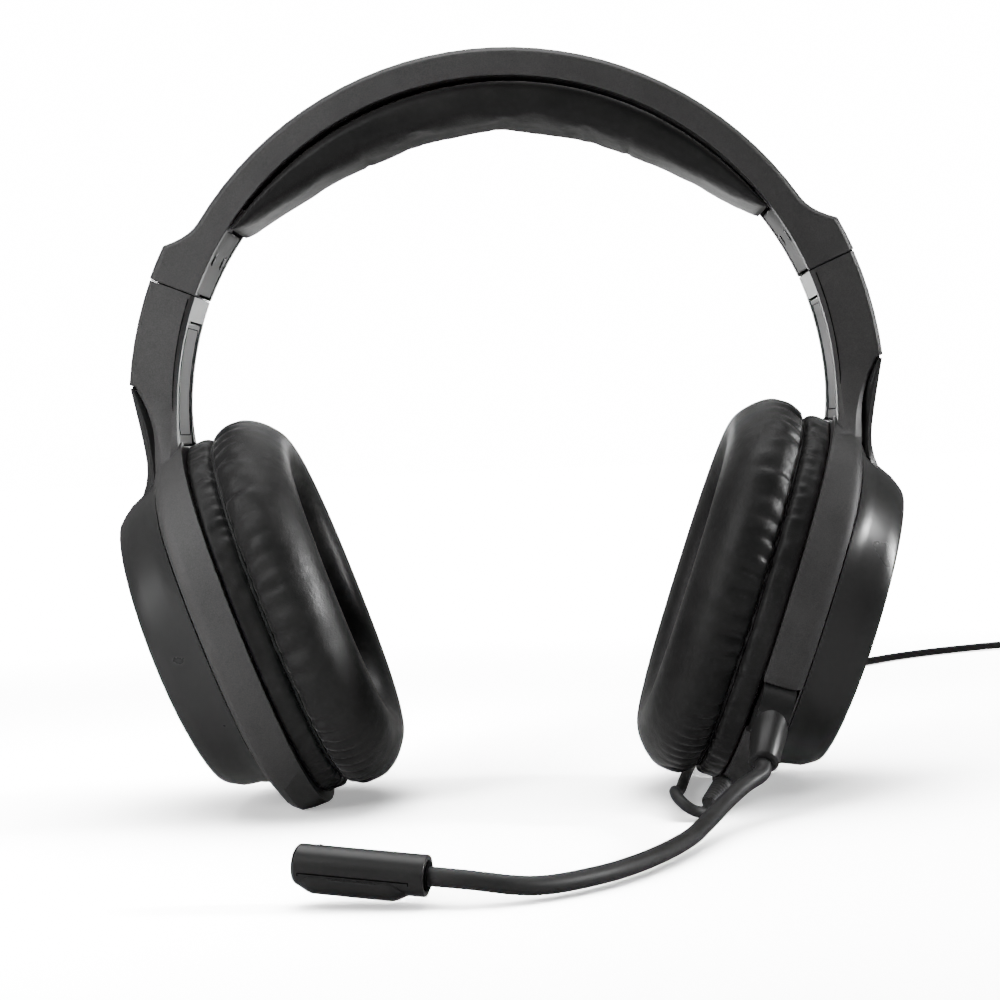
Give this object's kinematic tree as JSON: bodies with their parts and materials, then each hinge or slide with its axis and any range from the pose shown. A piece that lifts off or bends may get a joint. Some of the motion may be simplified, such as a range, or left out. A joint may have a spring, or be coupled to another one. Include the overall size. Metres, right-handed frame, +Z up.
{
  "type": "gaming headset",
  "caption": "Over-ear headset with an arched padded headband, sliding ear cups with leatherette pads, a pivoting gooseneck boom microphone and a corded jack plug",
  "frame": {"origin": "on the surface that the headset stands on, under the middle of the headset without its cable", "axes": "+X towards the wearer's left, -Y the way the wearer faces, +Z up"},
  "size_m": [0.3633, 0.4945, 0.1894],
  "materials": {
    "shell_black": "fine moulded texture",
    "satin_black": "satin",
    "leatherette": "soft leatherette",
    "steel": "brushed",
    "mesh_black": "fine mesh",
    "rubber": "matte",
    "board_green": "coated board",
    "contact_gold": "plated"
  },
  "bodies": {
    "headband": {"headband_shell": "shell_black", "headband_liner": "shell_black", "headband_spring": "steel", "headband_cushion": "leatherette", "crossover_wire": "rubber", "slider_cover_left": "satin_black", "slider_cover_right": "satin_black", "slider_screw_left_front": "steel", "slider_screw_left_rear": "steel", "slider_screw_right_front": "steel", "slider_screw_right_rear": "steel"},
    "cup_left": {"arm_frame_left": "shell_black", "slider_rail_left": "steel", "arm_cover_left": "satin_black", "cup_cap_left": "satin_black", "cap_plate_left": "satin_black", "baffle_left": "shell_black", "driver_basket_left": "shell_black", "driver_magnet_left": "steel", "driver_diaphragm_left": "mesh_black", "pad_mount_ring_left": "shell_black", "ear_mesh_left": "mesh_black", "ear_pad_left": "leatherette", "baffle_screw_left_1": "steel", "baffle_screw_left_2": "steel", "baffle_screw_left_3": "steel", "circuit_board": "board_green", "volume_wheel_shaft": "steel", "boom_pivot_pin": "steel", "strain_relief": "rubber", "cable": "rubber", "cable_coil": "rubber", "cable_tie": "rubber", "jack_plug_body": "rubber", "jack_plug_pin": "contact_gold"},
    "cup_right": {"arm_frame_right": "shell_black", "slider_rail_right": "steel", "arm_cover_right": "satin_black", "cup_cap_right": "satin_black", "cap_plate_right": "satin_black", "baffle_right": "shell_black", "driver_basket_right": "shell_black", "driver_magnet_right": "steel", "driver_diaphragm_right": "mesh_black", "pad_mount_ring_right": "shell_black", "ear_mesh_right": "mesh_black", "ear_pad_right": "leatherette", "baffle_screw_right_1": "steel", "baffle_screw_right_2": "steel", "baffle_screw_right_3": "steel"},
    "boom": {"boom_sleeve": "shell_black", "gooseneck": "rubber"},
    "microphone": {"mic_capsule": "shell_black", "mic_end_cap": "satin_black", "mic_element": "steel", "mic_port_cover": "satin_black"},
    "volume_wheel_body": {"volume_wheel": "rubber"}
  },
  "joints": [
    {"name": "slider_left", "type": "hinge", "parent": "headband", "child": "cup_left", "pos_m": [0, 0.0526, 0.0984], "axis": [0, 1, 0], "range_deg": [0, 14]},
    {"name": "slider_right", "type": "hinge", "parent": "headband", "child": "cup_right", "pos_m": [0, 0.0526, 0.0984], "axis": [0, -1, 0], "range_deg": [0, 14]},
    {"name": "boom_pivot", "type": "hinge", "parent": "cup_left", "child": "boom", "pos_m": [0.06203, 0.0182, 0.02403], "axis": [-0.9426, 0, 0.3338], "range_deg": [0, 50]},
    {"name": "mic_bend", "type": "hinge", "parent": "boom", "child": "microphone", "pos_m": [0.0285, -0.0604, 0.0029], "axis": [0, 0, 1], "range_deg": [-20, 20], "deforming": ["gooseneck"]},
    {"name": "volume_wheel_turn", "type": "hinge", "parent": "cup_left", "child": "volume_wheel_body", "pos_m": [0.07051, 0.0878, 0.04648], "axis": [0.9426, 0, -0.3338], "range_deg": [-150, 150]}
  ]
}
